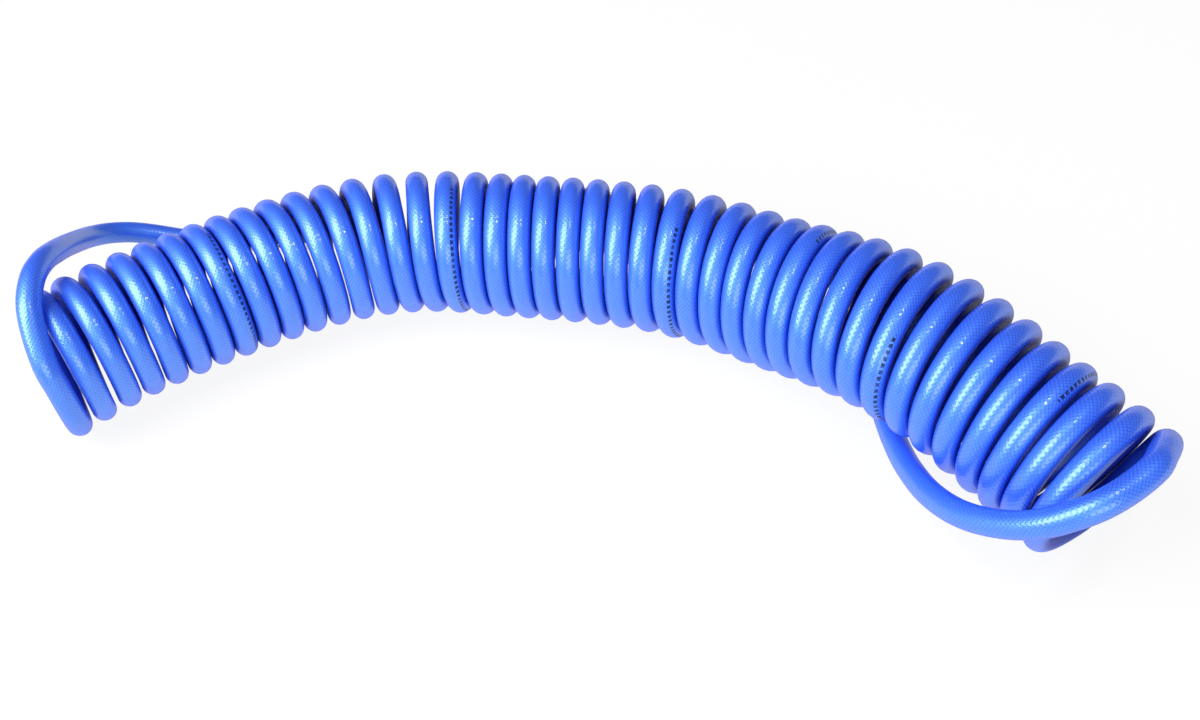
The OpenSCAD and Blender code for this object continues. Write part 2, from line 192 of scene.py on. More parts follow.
# Turn number, and how far the tops of the turns lean along the axis
TURN_LEAN = np.array([
    (0, 4.3), (1, 5), (3, 4.8), (5, 5.3), (10, 5.2), (16, 3.3), (21, 3.4), (24, 1.9),
    (28, -2.7), (32, -3.3), (36, 0.3), (39, 3.2), (40.7, 4.2), (41.5, 6.2), (42, 10.2),
])
# Turn number, and how far the fronts of the turns stand along the axis
TURN_YAW = np.array([
    (0, -5), (2, 0.7), (5, 3), (9, 4.9), (13, 5.4), (17, 4.5), (20, 3.3), (23, 2.9), (27, 1.9),
    (31, 0.9), (34, 1.2), (38, 1.8), (40, 2.1), (41, 2.3), (41.5, 2.8), (42, 9),
])
# Turn number, and how far the low backs of the turns stand along the axis
TURN_BACK = np.array([(0, 0), (24, 0), (28, -5), (35, -5), (38, 0), (42, 0)])
BACK_FROM = math.radians(138.5)
# The coil rises over the free end under it about LIFT_TURN, and its turns flatten there
LIFT_TURN = 33.4
LIFT_REACH = 6
LIFT_SQUASH = 0.325
# How far before and after a point, in turns, its direction is taken from
TANGENT_REACH = 0.002


def unit(vectors):
    """Vectors of the same directions, one long."""
    return vectors / np.linalg.norm(vectors, axis=-1, keepdims=True)


def read(table, turn):
    """A table's value at a turn number, between its rows too."""
    return np.interp(turn, table[:, 0], table[:, 1])


class CoilLine:
    """The centreline of the wound hose, as a function of the turn."""

    def __init__(self, hose):
        self.hose_r = hose.hose_d / 2
        self.coil_r = hose.coil_d / 2 - self.hose_r
        self.lift_height = hose.lift_height
        count = int((WALK_TO_TURN - WALK_FROM_TURN) * STEPS_PER_TURN)
        x, y = AXIS_START[0] * MM, AXIS_START[1] * MM
        heading = AXIS_START_HEADING
        walked = [(x, y, heading)]
        for i in range(count):
            turn = (i + 0.5) / STEPS_PER_TURN + WALK_FROM_TURN
            bend = read(AXIS_BEND, turn)
            step = hose.hose_d + hose.turn_gap + read(TURN_SPREAD, turn) * MM
            ahead = (step + self.coil_r * math.radians(bend)) / STEPS_PER_TURN
            middle = math.radians(heading - bend / STEPS_PER_TURN / 2)
            heading -= bend / STEPS_PER_TURN
            x += ahead * math.cos(middle)
            y += ahead * math.sin(middle)
            walked.append((x, y, heading))
        self.walked = np.array(walked)
        self.turns = np.arange(count + 1) / STEPS_PER_TURN + WALK_FROM_TURN

    def frames(self, turn):
        """Axis point, direction across it and direction along it, at each turn number."""
        x, y, heading = (np.interp(turn, self.turns, self.walked[:, i]) for i in range(3))
        cos, sin = np.cos(np.radians(heading)), np.sin(np.radians(heading))
        flat = np.zeros_like(cos)
        return (np.stack([x, y, flat], -1), np.stack([-sin, cos, flat], -1),
                np.stack([cos, sin, flat], -1))

    def outward(self, turn):
        """Directions from the coil's axis to the hose."""
        across = self.frames(turn)[1]
        angle = 2 * np.pi * turn
        return -np.sin(angle)[:, None] * across + np.cos(angle)[:, None] * Z_AXIS

    def points(self, turn):
        """Points of the centreline, in metres."""
        turn = np.atleast_1d(np.asarray(turn, float))
        middle, across, along = self.frames(turn)
        away = np.minimum(1, np.abs(turn - LIFT_TURN) / LIFT_REACH)
        rise = self.lift_height * (1 + np.cos(np.pi * away)) / 2
        angle = 2 * np.pi * turn
        height = self.coil_r + self.hose_r + (1 - LIFT_SQUASH) * rise
        height += (self.coil_r - LIFT_SQUASH * rise) * np.cos(angle)
        side = (self.coil_r + LIFT_SQUASH * rise) * np.sin(angle)
        lean, yaw, back = (read(table, turn) * MM for table in (TURN_LEAN, TURN_YAW, TURN_BACK))
        shift = lean * np.cos(angle) + yaw * np.sin(angle)
        shift += back * np.maximum(0, np.sin(angle - BACK_FROM)) ** 2
        return (middle - side[:, None] * across + height[:, None] * Z_AXIS
                + shift[:, None] * along)

    def tangent(self, turn):
        """Directions of the centreline."""
        return unit(self.points(turn + TANGENT_REACH) - self.points(turn - TANGENT_REACH))


# ---------------------------------------------------------------- the free ends

# Routes of the two free ends: X, Y and the height of the hose's underside
PLUG_ROUTE = [
    (-238.5, 30.9, 67.2), (-239.6, 43.3, 75.6), (-239.2, 58.3, 79), (-238.9, 74.1, 75.4),
    (-239, 88.4, 68.1), (-240.5, 101.9, 59.6), (-242.5, 115.5, 50.2), (-243.7, 128.2, 41.4),
    (-242.7, 137.9, 34.7), (-238.3, 145.5, 29), (-232.9, 149.9, 24.8), (-226.3, 153, 20.6),
    (-216.8, 154.9, 15.2), (-206.3, 155.3, 9.9), (-195.3, 154.6, 5.7),
]
COUPLER_ROUTE = [
    (225.8, -151.9, 65), (213.8, -156.1, 63.4), (204, -156.1, 58.6), (193, -152.9, 50.6),
    (181.8, -144.3, 40.6), (171.5, -129.9, 29.4), (165.5, -109.9, 17.5), (163.7, -85.6, 6),
    (163.7, -63.1, 0.2), (164.2, -47.1, 0), (167.7, -32.6, 0), (171.7, -18.1, 0),
    (174.7, -3.6, 0), (174.7, 11.4, 0.5), (170.7, 25.4, 2.5), (162.2, 39.4, 5.5),
]
# Each fitting has its own X axis: the hose comes in from -X, and 0 is the hose's end
PLUG_PLACE = (-126.3, 149.7, 9.5)
PLUG_HEADING = -4
COUPLER_PLACE = (87.2, 91.9, 13.5)
COUPLER_HEADING = 147.5
# A free end goes straight from here on, and the points before it aim GUARD_AIM further in
TAIL_MEETS_GUARD = -58
GUARD_AIM = 14
PATH_STEP = 3.0
# How far back into the coil, in turns, a free end's start is aimed from
COIL_AIM = 0.05
# How far the wound hose's own shade takes to fade at each end of the coil, in turns
FADE_TURNS = 1 / 3


class Fitting:
    """A fitting's own axis: places along it, and its directions in the scene."""

    def __init__(self, place, heading):
        self.place = np.array(place) * MM
        self.heading = math.radians(heading)
        self.axis = np.array([math.cos(self.heading), math.sin(self.heading), 0.0])

    def at(self, x):
        """The point at x on the axis, in metres."""
        return self.place + x * MM * self.axis

    def turned(self, directions):
        """Directions in the fitting's own frame, turned to its heading."""
        return directions @ np.array(Matrix.Rotation(self.heading, 3, "Z")).T

    def placed(self, points):
        """Points in the fitting's own frame and in millimetres, placed in the scene."""
        return self.place + self.turned(points * MM)


PLUG = Fitting(PLUG_PLACE, PLUG_HEADING)
COUPLER = Fitting(COUPLER_PLACE, COUPLER_HEADING)


def smooth_through(before, points, after, step):
    """A smooth line through points, about a step apart; before and after only aim its ends."""
    stops = np.vstack([before, points, after])
    line = []
    for a, b, c, d in zip(stops, stops[1:], stops[2:], stops[3:]):
        count = max(2, round(np.linalg.norm(c - b) / step))
        for t in np.arange(count) / count:
            line.append(0.5 * (2 * b + (c - a) * t + (2 * a - 5 * b + 4 * c - d) * t ** 2
                               + (3 * b - a - 3 * c + d) * t ** 3))
    return np.array(line)


def free_end(coil, turn, way, route, fitting, hose):
    """The line from the coil's end into a fitting; way is -1 at turn 0 and 1 at the last."""
    hose_r = hose.hose_d / 2
    start = coil.points(turn)[0]
    leaving = start + hose.hose_d * way * coil.tangent(turn)[0]
    lifted = [(np.array(stop) + (0, 0, hose_r / MM)) * MM for stop in route]
    line = smooth_through(
        coil.points(turn - way * COIL_AIM)[0],
        [start, leaving, *lifted, fitting.at(TAIL_MEETS_GUARD)],
        fitting.at(TAIL_MEETS_GUARD + GUARD_AIM), PATH_STEP * MM)
    # A smooth line dips a little between two stops on the floor
    line[:, 2] = np.maximum(line[:, 2], hose_r)
    straight = [fitting.at(x) for x in np.arange(TAIL_MEETS_GUARD, 0, PATH_STEP)]
    return np.vstack([line, straight, fitting.at(0)])


def carried_ups(line, up):
    """Up directions along a line, carried on from the first one without a twist."""
    ups = []
    for direction in unit(np.gradient(line, axis=0)):
        up = unit(up - up @ direction * direction)
        ups.append(up)
    return np.array(ups)


def hose_line(hose):
    """Centreline, directions, up directions and wound share of the hose, plug to coupler."""
    coil = CoilLine(hose)
    count = round((COIL_TO_TURN - COIL_FROM_TURN) * hose.rings_per_turn)
    turns = np.linspace(COIL_FROM_TURN, COIL_TO_TURN, count + 1)
    plug_end = free_end(coil, COIL_FROM_TURN, -1, PLUG_ROUTE, PLUG, hose)
    coupler_end = free_end(coil, COIL_TO_TURN, 1, COUPLER_ROUTE, COUPLER, hose)
    line = np.vstack([plug_end[:0:-1], coil.points(turns), coupler_end[1:]])
    ahead = unit(np.gradient(line, axis=0))
    # The coil's own points are those from first up to last. Its ups point away from its axis,
    # and the free ends carry them on.
    first = len(plug_end) - 1
    last = first + len(turns)
    wound_ahead = ahead[first:last]
    out = coil.outward(turns)
    ups = np.empty_like(line)
    ups[first:last] = unit(out - (out * wound_ahead).sum(1)[:, None] * wound_ahead)
    ups[:first + 1] = carried_ups(line[:first + 1][::-1], ups[first])[::-1]
    ups[last - 1:] = carried_ups(line[last - 1:], ups[last - 1])
    index = np.arange(len(line))
    fade = hose.rings_per_turn * FADE_TURNS
    wound_share = np.clip(np.minimum(index - first, last - index) / fade, 0, 1)
    return line, ahead, ups, wound_share


# ---------------------------------------------------------------- meshes

# The map that holds metres along a tube and the share of a turn round it
RUN_MAP = "Run"
# The map that a texture is baked to, its rows and the free border of each
BAKE_MAP = "OFBake"
BAKE_ROWS = 16
BAKE_MARGIN = 0.01

# How far light is kept from each point of the hose, from 0 to 1; the colour shows it as painted
# shade. A turn is sheltered beside its neighbours: from the angle round the hose whose cosine is
# BESIDE_FROM, to full shelter BESIDE_WIDTH further. A free end is sheltered a little on its
# underside.
SHELTER = "Shelter"
BESIDE_FROM = 0.62
BESIDE_WIDTH = 0.7
BESIDE_POWER = 1.3
BELOW_FROM = 0.3
BELOW_MOST = 0.35

WIRE_SIDES = 12
WIRE_STEPS = 48
# Room between a spring's wire and what holds its ends
WIRE_ROOM = 0.1


def tube_mesh(name, line, ahead, ups, radius, sides):
    """A round tube along a line, with its run map, and the tube's length."""
    side = np.cross(ahead, ups)
    angles = 2 * np.pi * np.arange(sides) / sides
    ring = (np.cos(angles)[None, :, None] * ups[:, None, :]
            + np.sin(angles)[None, :, None] * side[:, None, :])
    verts = (line[:, None, :] + radius * ring).reshape(-1, 3)
    i, j = np.meshgrid(np.arange(len(line) - 1), np.arange(sides), indexing="ij")
    beside = (j + 1) % sides
    faces = np.stack([i * sides + j, i * sides + beside,
                      (i + 1) * sides + beside, (i + 1) * sides + j], -1).reshape(-1, 4)
    run = np.concatenate([[0], np.cumsum(np.linalg.norm(np.diff(line, axis=0), axis=1))])
    corner_run = np.stack([run[i], run[i], run[i + 1], run[i + 1]], -1).reshape(-1)
    corner_turn = np.stack([j, j + 1, j + 1, j], -1).reshape(-1) / sides
    mesh = bpy.data.meshes.new(name)
    mesh.from_pydata(verts.tolist(), [], faces.tolist())
    layer = mesh.uv_layers.new(name=RUN_MAP)
    layer.data.foreach_set("uv", np.stack([corner_run, corner_turn], -1).ravel())
    shade_smooth(mesh)
    return mesh, run[-1]


def add_bake_map(mesh):
    """Cuts the tube's long strip into rows, so that a square texture holds it."""
    corners = np.empty(len(mesh.loops) * 2)
    mesh.uv_layers[RUN_MAP].data.foreach_get("uv", corners)
    run, turn = corners.reshape(-1, 2).T
    row_length = run.max() / BAKE_ROWS
    face_of = np.repeat(np.arange(len(mesh.polygons)),
                        [len(face.vertices) for face in mesh.polygons])
    middle = np.bincount(face_of, run) / np.bincount(face_of)
    row = np.minimum(middle // row_length, BAKE_ROWS - 1)[face_of]
    u = BAKE_MARGIN + (1 - 2 * BAKE_MARGIN) * (run / row_length - row)
    border = BAKE_MARGIN * BAKE_ROWS / 4
    v = (row + border + (1 - 2 * border) * turn) / BAKE_ROWS
    layer = mesh.uv_layers.new(name=BAKE_MAP)
    layer.data.foreach_set("uv", np.stack([u, v], -1).ravel())


def add_shelter(mesh, ups, wound_share, sides):
    """Stores how far light is kept from each vertex of the hose, which its colour shows as
    painted shade.
    """
    outward = np.cos(2 * np.pi * np.arange(sides) / sides)[None, :]
    beside = np.clip((BESIDE_FROM - outward) / BESIDE_WIDTH, 0, 1) ** BESIDE_POWER
    below = BELOW_MOST * np.clip(BELOW_FROM - ups[:, 2:3] * outward, 0, 1)
    share = wound_share[:, None]
    amount = share * beside + (1 - share) * below
    layer = mesh.attributes.new(SHELTER, "FLOAT", "POINT")
    layer.data.foreach_set("value", np.clip(amount.ravel(), 0, 1))


def shade_smooth(mesh):
    """Smooth shading all over."""
    mesh.polygons.foreach_set("use_smooth", [True] * len(mesh.polygons))
    mesh.update()


def smooth_within(mesh, degrees):
    """Smooth shading that keeps edges sharper than an angle."""
    shade_smooth(mesh)
    mesh.set_sharp_from_angle(angle=math.radians(degrees))


def close_ends(mesh, sides, rings):
    """Closes both open ends of a tube mesh with a flat face."""
    bm = bmesh.new()
    bm.from_mesh(mesh)
    bm.verts.ensure_lookup_table()
    first = [bm.verts[k] for k in range(sides)]
    last = [bm.verts[(rings - 1) * sides + k] for k in range(sides)]
    bm.faces.new(first)
    bm.faces.new(last[::-1])
    bm.to_mesh(mesh)
    bm.free()


def spring_mesh(name, fitting, start, end, radius, wire, curls):
    """A round wire wound about a fitting's axis between two places on it."""
    count = WIRE_STEPS * curls
    angle = 2 * np.pi * np.arange(count + 1) / WIRE_STEPS
    flat = np.zeros_like(angle)
    first = start + wire / 2 + WIRE_ROOM
    x = first + (end - start - wire - 2 * WIRE_ROOM) * np.arange(count + 1) / count
    out = np.stack([flat, np.cos(angle), np.sin(angle)], -1)
    line = fitting.placed(np.stack([x, flat, flat], -1) + radius * out)
    ahead = unit(np.gradient(line, axis=0))
    out = fitting.turned(out)
    ups = unit(out - (out * ahead).sum(1)[:, None] * ahead)
    mesh, _ = tube_mesh(name, line, ahead, ups, wire / 2 * MM, WIRE_SIDES)
    close_ends(mesh, WIRE_SIDES, len(line))
    return mesh


def lathe_mesh(name, fitting, profile, sides, depth):
    """A closed outline of (x, radius) turned about a fitting's axis; depth() sinks it."""
    angles = 2 * np.pi * np.arange(sides) / sides
    rows = []
    for x, r in profile:
        sunk = r - depth(x, r, angles)
        rows.append(np.stack([np.full(sides, x), sunk * np.cos(angles),
                              sunk * np.sin(angles)], -1))
    verts = fitting.placed(np.concatenate(rows))
    i, j = np.meshgrid(np.arange(len(rows)), np.arange(sides), indexing="ij")
    below, beside = (i + 1) % len(rows), (j + 1) % sides
    faces = np.stack([i * sides + j, below * sides + j,
                      below * sides + beside, i * sides + beside], -1)
    mesh = bpy.data.meshes.new(name)
    mesh.from_pydata(verts.tolist(), [], faces.reshape(-1, 4).tolist())
    bm = bmesh.new()
    bm.from_mesh(mesh)
    bmesh.ops.recalc_face_normals(bm, faces=bm.faces)
    bm.to_mesh(mesh)
    bm.free()
    return mesh


def add_piece(name, mesh, body, material):
    """Puts a piece in the scene, on its body and material."""
    piece = bpy.data.objects.new(name, mesh)
    bpy.context.scene.collection.objects.link(piece)
    piece.data.materials.append(material)
    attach(piece, body)
    return piece


# ---------------------------------------------------------------- materials


class Nodes:
    """Short ways to make and join the shader nodes of one material."""

    def __init__(self, name):
        self.material = bpy.data.materials.get(name) or bpy.data.materials.new(name)
        self.material.use_nodes = True
        self.tree = self.material.node_tree
        self.tree.nodes.clear()
        self.shader = self.add("ShaderNodeBsdfPrincipled")
        self.output = self.add("ShaderNodeOutputMaterial")
        self.join(self.shader.outputs[0], self.output.inputs["Surface"])

    def add(self, kind, **values):
        node = self.tree.nodes.new(kind)
        for key, value in values.items():
            setattr(node, key, value)
        return node

    def join(self, output, socket):
        self.tree.links.new(output, socket)

    def put(self, socket, value):
        """Joins a node's output to a socket, or sets the socket to a plain value."""
        if isinstance(value, bpy.types.NodeSocket):
            self.join(value, socket)
        else:
            socket.default_value = value

    def surface(self, socket, value):
        """Joins or sets one of the surface shader's own sockets."""
        self.put(self.shader.inputs[socket], value)

    def math(self, operation, a, b=0.0):
        node = self.add("ShaderNodeMath", operation=operation)
        self.put(node.inputs[0], a)
        self.put(node.inputs[1], b)
        return node.outputs[0]

    def map_range(self, value, from_min, from_max, to_min, to_max):
        node = self.add("ShaderNodeMapRange")
        for key, v in (("Value", value), ("From Min", from_min), ("From Max", from_max),
                       ("To Min", to_min), ("To Max", to_max)):
            self.put(node.inputs[key], v)
        return node.outputs[0]

    def noise(self, scale, detail, place=None):
        """Noise from 0 to 1, in the object's own metres if no place is given."""
        node = self.add("ShaderNodeTexNoise")
        node.inputs["Scale"].default_value = scale
        node.inputs["Detail"].default_value = detail
        node.inputs["Roughness"].default_value = 0.5
        if place is None:
            place = self.add("ShaderNodeTexCoord").outputs["Object"]
        self.join(place, node.inputs["Vector"])
        return node.outputs["Fac"]

    def mix(self, factor, a, b):
        node = self.add("ShaderNodeMix", data_type="RGBA")
        self.put(node.inputs["Factor"], factor)
        self.put(node.inputs["A"], a)
        self.put(node.inputs["B"], b)
        return node.outputs["Result"]

    def bump(self, height, distance, strength, normal=None):
        node = self.add("ShaderNodeBump")
        node.inputs["Strength"].default_value = strength
        node.inputs["Distance"].default_value = distance
        self.join(height, node.inputs["Height"])
        if normal is not None:
            self.join(normal, node.inputs["Normal"])
        return node.outputs["Normal"]


def rgba(colour):
    """A colour with full opacity."""
    return (*colour, 1.0)


# Nearly all of a noise's values lie in this range
NOISE_RANGE = (0.3, 0.7)

# The hose's cover: its broad tinted gloss and its thin clear coat
COVER_IOR = 1.9
COVER_TINT = (0.42, 1.0, 1.0, 1.0)
COVER_ROUGHNESS = (0.46, 0.56)
COAT_TINT = (0.9, 0.97, 1.0, 1.0)
COAT_ROUGHNESS = 0.14
COAT_SHARE = 0.8
# How much gloss is left at the cover's rim, beside the neighbouring turn and on the ink
RIM_RANGE = (0.5, 0.95)
RIM_GLOSS = 0.15
SHELTERED_GLOSS = 0.2
INK_GLOSS = 0.15
# The braid's crests that show as lines, and how faint its blotches leave them
CREST_RANGE = (0.3, 0.95)
BLOTCH_SCALE = 60.0
BLOTCH_LEAST = 0.75
# The cover's scuffs and ripples, and how high the braid stands in the cover and in its coat
SCUFF_SCALE = 900.0
SCUFF_RANGE = (0.35, 0.75)
RIPPLE_SCALE = 220.0
RIPPLE_HEIGHT = 0.16 * MM
RIDGE_HEIGHT = 0.1 * MM
COAT_RIDGE_HEIGHT = 0.07 * MM

# The ink dashes: their row's place and half its width, in shares of a turn round the hose,
# then the first group's start, the groups' pitch and length and the dashes' pitch, in metres
# along it, how much of its pitch a dash fills, and how faint wear leaves its ink
DASH_ROW_AT = 0.88
DASH_ROW_HALF = 0.024
DASH_START = 0.7475
DASH_GROUP_PITCH = 0.9175
DASH_GROUP_LENGTH = 0.078
DASH_PITCH = 0.0027
DASH_FILL = 0.62
WEAR_SCALE = 300.0
WEAR_LEAST = 0.7


def braided_hose_material(hose):
    """Glossy clear-blue cover over a fine braid, plain ink dashes and painted shade between
    turns.
    """
    look = Nodes("braided_hose")
    look.surface("IOR", COVER_IOR)
    look.surface("Specular Tint", COVER_TINT)
    look.surface("Coat Roughness", COAT_ROUGHNESS)
    look.surface("Coat Tint", COAT_TINT)
    split = look.add("ShaderNodeSeparateXYZ")
    look.join(look.add("ShaderNodeUVMap", uv_map=RUN_MAP).outputs[0], split.inputs[0])
    run, around = split.outputs[0], split.outputs[1]
    lines, ridges = braid(look, hose, run, around)
    ink = ink_dashes(look, run, around)
    sheltered = look.add("ShaderNodeAttribute", attribute_name=SHELTER).outputs["Fac"]

    strength = look.map_range(look.noise(BLOTCH_SCALE, 4.0), *NOISE_RANGE, BLOTCH_LEAST, 1.0)
    colour = look.mix(look.math("MULTIPLY", lines, strength), rgba(hose.cover), rgba(hose.yarn))
    # Painted shade: the colour goes over to the shade colour beside the neighbouring turns and
    # under the free ends
    colour = look.mix(sheltered, colour, rgba(hose.edge))
    look.surface("Base Color", look.mix(ink, colour, rgba(hose.ink)))

    facing = look.add("ShaderNodeLayerWeight").outputs["Facing"]
    gloss = look.math("MULTIPLY", look.map_range(facing, *RIM_RANGE, 1.0, RIM_GLOSS),
                      look.map_range(sheltered, 0.0, 1.0, 1.0, SHELTERED_GLOSS))
    gloss = look.math("MULTIPLY", gloss, look.map_range(ink, 0.0, 1.0, 1.0, INK_GLOSS))
    # The export drops what is joined to these two, and keeps the plain value under it
    look.surface("Specular IOR Level", 1.0)
    look.surface("Specular IOR Level", gloss)
    look.surface("Coat Weight", COAT_SHARE)
    look.surface("Coat Weight", look.math("MULTIPLY", gloss, COAT_SHARE))

    scuffs = look.noise(SCUFF_SCALE, 3.0)
    look.surface("Roughness", look.map_range(scuffs, *SCUFF_RANGE, *COVER_ROUGHNESS))
    ripple = look.bump(look.noise(RIPPLE_SCALE, 2.0), RIPPLE_HEIGHT, 0.5)
    look.surface("Normal", look.bump(ridges, RIDGE_HEIGHT, 1.0, ripple))
    look.surface("Coat Normal", look.bump(ridges, COAT_RIDGE_HEIGHT, 1.0, ripple))
    return look.material


def braid(look, hose, run, around):
    """The thin lines where yarns cross under the cover, and the height that they give it."""
    across = look.math("MULTIPLY", around, float(hose.strands))
    along = look.math("MULTIPLY", run, hose.strands / (math.pi * hose.hose_d))
    left, right = (
        look.math("SINE", look.math("MULTIPLY", look.math(way, across, along), 2 * math.pi))
        for way in ("ADD", "SUBTRACT"))
    crest = look.math("MAXIMUM", left, right)
    lines = look.map_range(crest, *CREST_RANGE, 0.0, 1.0)
    knots = look.math("ADD", look.math("MULTIPLY", left, right), crest)
    return lines, look.map_range(knots, -1.0, 2.0, 0.0, 1.0)


def ink_dashes(look, run, around):
    """How strong the ink is: short plain dashes in groups, in a row along the hose."""
    off_row = look.math("ABSOLUTE", look.math("SUBTRACT", around, DASH_ROW_AT))
    in_row = look.math("LESS_THAN", off_row, DASH_ROW_HALF)
    from_start = look.math("FLOORED_MODULO", look.math("SUBTRACT", run, DASH_START),
                           DASH_GROUP_PITCH)
    in_group = look.math("LESS_THAN", from_start, DASH_GROUP_LENGTH)
    in_dash = look.math("LESS_THAN", look.math("FRACT", look.math("DIVIDE", run, DASH_PITCH)),
                        DASH_FILL)
    worn = look.map_range(look.noise(WEAR_SCALE, 2.0), *NOISE_RANGE, WEAR_LEAST, 1.0)
    return look.math("MULTIPLY", look.math("MULTIPLY", in_row, in_group),
                     look.math("MULTIPLY", in_dash, worn))


# The lines that turning leaves in metal: how fine they are, how far they are drawn out round
# the fitting, and how deep
TURNING_SCALE = 6000.0
TURNING_STRETCH = (1.0, 0.04, 0.04)
TURNING_DEPTH = 0.02 * MM
# The metal's stains, how dark they are, and how much they and the lines roughen it
STAIN_SCALE = 140.0
STAIN_RANGE = (0.35, 0.7)
STAIN_DARK = 0.82
DULLING = 0.08
# How rough each metal finish is where it is cleanest
WOUND_WIRE_ROUGHNESS = 0.22
SLEEVE_ROUGHNESS = 0.2
PLATED_ROUGHNESS = 0.14
BRASS_ROUGHNESS = 0.24
RING_WIRE_ROUGHNESS = 0.3

# The rubber's mottling, dull patches and grain
MOTTLE_SCALE = 700.0
MOTTLE_PALE = 2.2
DULL_PATCH_SCALE = 1200.0
RUBBER_ROUGHNESS = (0.5, 0.7)
GRAIN_SCALE = 2500.0
GRAIN_DEPTH = 0.03 * MM


def metal_material(name, colour, roughness, fitting=None):
    """Bare or plated metal, with fine turning lines about a fitting's axis if one is given."""
    look = Nodes(name)
    look.surface("Metallic", 1.0)
    place = look.add("ShaderNodeTexCoord").outputs["Object"]
    if fitting is not None:
        mapping = look.add("ShaderNodeMapping", vector_type="TEXTURE")
        mapping.inputs["Location"].default_value = Vector(fitting.place)
        mapping.inputs["Rotation"].default_value = (0, 0, fitting.heading)
        look.join(place, mapping.inputs["Vector"])
        stretch = look.add("ShaderNodeVectorMath", operation="MULTIPLY")
        look.join(mapping.outputs[0], stretch.inputs[0])
        stretch.inputs[1].default_value = TURNING_STRETCH
        place = stretch.outputs[0]
    lines = look.noise(TURNING_SCALE, 3.0, place)
    stain = look.noise(STAIN_SCALE, 4.0)
    dark = tuple(STAIN_DARK * part for part in colour)
    look.surface("Base Color", look.mix(look.map_range(stain, *STAIN_RANGE, 0.0, 1.0),
                                        rgba(dark), rgba(colour)))
    look.surface("Roughness", look.math(
        "ADD", look.map_range(lines, *NOISE_RANGE, 0.0, DULLING),
        look.map_range(stain, *NOISE_RANGE, roughness, roughness + DULLING)))
    look.surface("Normal", look.bump(lines, TURNING_DEPTH, 0.5))
    return look.material


def rubber_material(colour):
    """Matt black rubber with a fine grain."""
    look = Nodes("seal_rubber")
    pale = tuple(MOTTLE_PALE * part for part in colour)
    look.surface("Base Color", look.mix(look.noise(MOTTLE_SCALE, 3.0), rgba(colour), rgba(pale)))
    dull = look.noise(DULL_PATCH_SCALE, 2.0)
    look.surface("Roughness", look.map_range(dull, *NOISE_RANGE, *RUBBER_ROUGHNESS))
    look.surface("Normal", look.bump(look.noise(GRAIN_SCALE, 2.0), GRAIN_DEPTH, 0.5))
    return look.material


def dress(node, material):
    """Gives a carried-over CAD node its finish."""
    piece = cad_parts[node]
    if not piece.material_slots:
        piece.data.materials.append(material)
    for place in piece.material_slots:
        place.link = "OBJECT"
        place.material = material


# ---------------------------------------------------------------- stage

# The point on the floor that the camera looks at
AIM = Vector((31.7 * MM, 19.4 * MM, 0))
SENSOR_WIDTH = 36.0
CAMERA_CLIP = 0.02
FLOOR_SIZE = 8.0
FLOOR_ROUGHNESS = 0.6
# How much of the floor's brightness, where it is seen, is plain white
FLOOR_WHITE = 0.9
# Lamp, the setting that holds its power, its place, and its width and height
LAMPS = (
    ("key_box", "key_power", (-1.05, -0.25, 1.3), (0.95, 1.8)),
    ("top_lamp", "top_power", (0.45, -0.1, 1.2), (0.09, 0.09)),
    ("fill_box", "fill_power", (0.3, -1.7, 0.9), (1.6, 0.9)),
)
LAMPS_AIM = Vector((0, 0, 0.04))


def make_camera(context, stage):
    """The camera, which looks down at AIM from the front."""
    data = bpy.data.cameras.new("camera")
    data.lens = stage.lens
    data.sensor_width = SENSOR_WIDTH
    data.sensor_fit = "HORIZONTAL"
    data.clip_start = CAMERA_CLIP
    camera = bpy.data.objects.new("camera", data)
    context.scene.collection.objects.link(camera)
    tilt, roll = stage.elevation, stage.roll
    forward = Vector((0, math.cos(tilt), -math.sin(tilt)))
    level_right, level_up = Vector((1, 0, 0)), Vector((0, math.sin(tilt), math.cos(tilt)))
    right = math.cos(roll) * level_right + math.sin(roll) * level_up
    up = -math.sin(roll) * level_right + math.cos(roll) * level_up
    turned = Matrix((right, up, -forward)).transposed().to_4x4()
    camera.matrix_world = Matrix.Translation(AIM - stage.distance * forward) @ turned
    context.scene.camera = camera


def make_floor(context, stage):
    """One wide plane under the hose."""
    mesh = bpy.data.meshes.new("floor")
    half = FLOOR_SIZE / 2
    mesh.from_pydata([(-half, -half, 0), (half, -half, 0), (half, half, 0), (-half, half, 0)],
                     [], [(0, 1, 2, 3)])
    floor = bpy.data.objects.new("floor", mesh)
    context.scene.collection.objects.link(floor)
    floor.data.materials.append(floor_material(stage))


def floor_material(stage):
    """Pale floor that looks near white and still keeps a soft shadow."""
    look = Nodes("pale_floor")
    look.surface("Base Color", rgba(stage.floor))
    look.surface("Roughness", FLOOR_ROUGHNESS)
    look.surface("Specular IOR Level", 0.0)
    path = look.add("ShaderNodeLightPath")
    mirrored = look.math("MAXIMUM", path.outputs["Is Glossy Ray"],
                         path.outputs["Is Transmission Ray"])
    seen = look.math("MAXIMUM", path.outputs["Is Camera Ray"], mirrored)
    white = look.add("ShaderNodeEmission")
    white.inputs["Strength"].default_value = 1.0
    mix = look.add("ShaderNodeMixShader")
    look.join(look.math("MULTIPLY", seen, FLOOR_WHITE), mix.inputs[0])
    look.join(look.shader.outputs[0], mix.inputs[1])
    look.join(white.outputs[0], mix.inputs[2])
    look.join(mix.outputs[0], look.output.inputs["Surface"])
    return look.material


def make_lamps(context, stage):
    """The soft boxes at the left and in front, and the small lamp overhead."""
    for name, power, place, (width, height) in LAMPS:
        data = bpy.data.lights.new(name, "AREA")
        data.shape = "RECTANGLE"
        data.size, data.size_y = width, height
        data.energy = getattr(stage, power)
        lamp = bpy.data.objects.new(name, data)
        context.scene.collection.objects.link(lamp)
        lamp.location = place
        lamp.rotation_euler = (LAMPS_AIM - Vector(place)).to_track_quat("-Z", "Y").to_euler()


